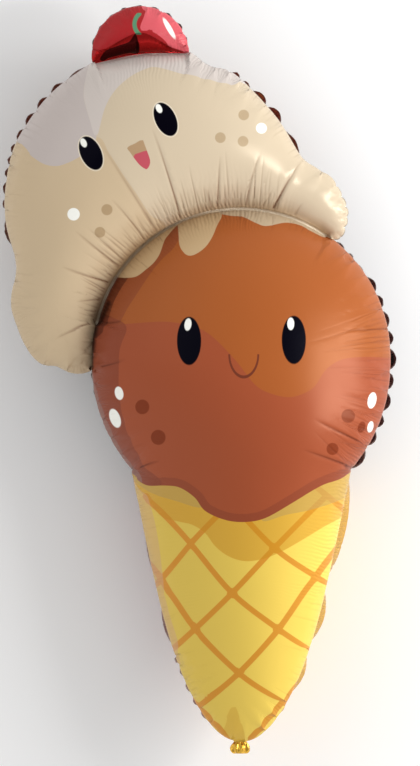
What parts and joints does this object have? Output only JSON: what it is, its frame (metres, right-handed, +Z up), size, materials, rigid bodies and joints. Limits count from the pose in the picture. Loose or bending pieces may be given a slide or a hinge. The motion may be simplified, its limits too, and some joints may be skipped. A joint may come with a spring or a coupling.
{
  "type": "foil balloon",
  "caption": "Gas-filled foil balloon shaped as an ice cream cone with scoops and a cherry, lying on its back, with a filling neck at the cone's tip.",
  "frame": {"origin": "centre of the bounding box in X and Y, on the floor the balloon's back rests on", "axes": "+Y along the balloon from the filling neck to the cherry, +Z up, out of the printed front, +X to the right when the front is looked at with the cherry up"},
  "size_m": [0.5342, 1.0194, 0.2571],
  "materials": {
    "printed_foil": "satin, printed on metallised film"
  },
  "bodies": {
    "root": {"foil_balloon": "printed_foil"}
  },
  "joints": []
}
